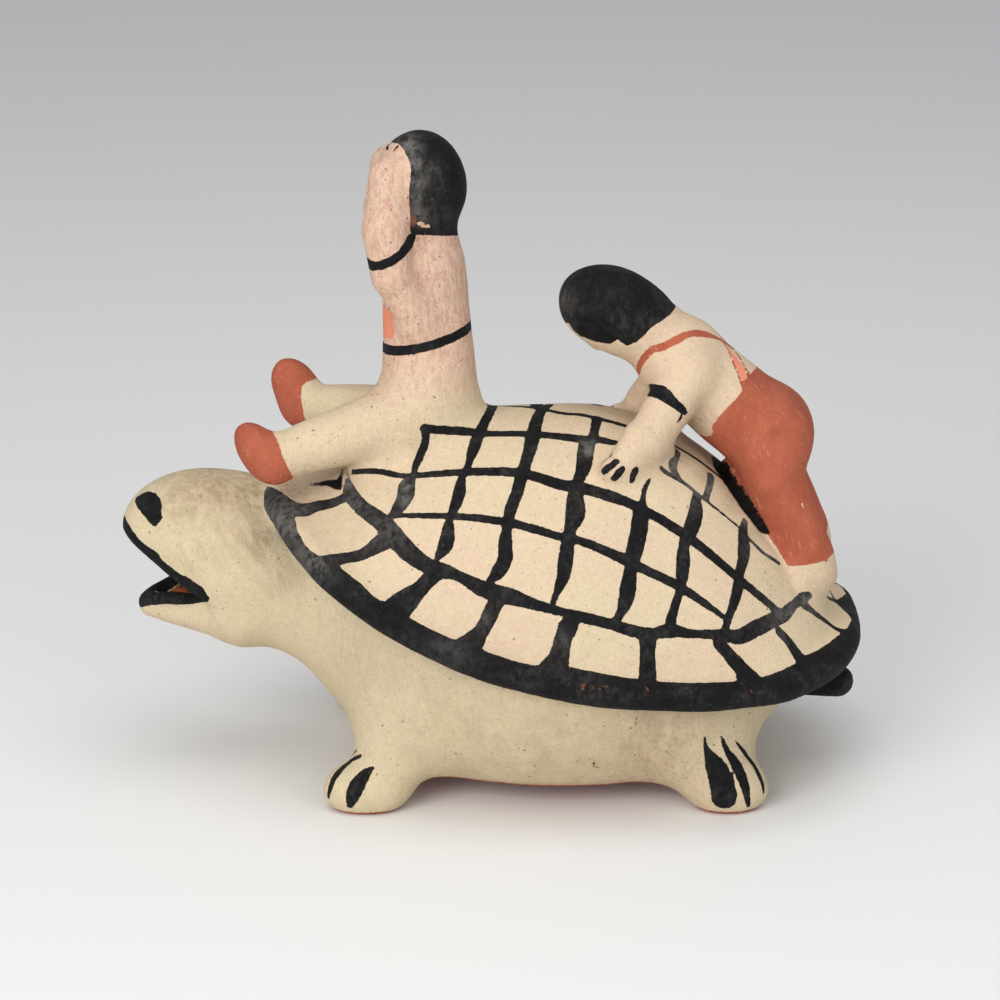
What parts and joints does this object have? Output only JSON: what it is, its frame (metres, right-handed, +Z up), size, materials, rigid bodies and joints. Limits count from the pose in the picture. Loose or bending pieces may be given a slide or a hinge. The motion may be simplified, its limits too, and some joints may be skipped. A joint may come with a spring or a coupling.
{
  "type": "pueblo storyteller figure",
  "caption": "Hand-built turtle of slip-painted fired clay, its mouth open as if telling a story, carrying children on its domed shell.",
  "frame": {"origin": "on the ground, under the middle of the figure's outer box", "axes": "+X from the turtle's head to its tail, +Y from its left side to its right side, +Z up from the soles of its feet"},
  "size_m": [0.175, 0.1044, 0.154],
  "materials": {
    "slip_painted_clay": "matte cream slip, painted in charcoal black and red-brown slip, unglazed"
  },
  "bodies": {
    "root": {"turtle_storyteller": "slip_painted_clay"}
  },
  "joints": []
}
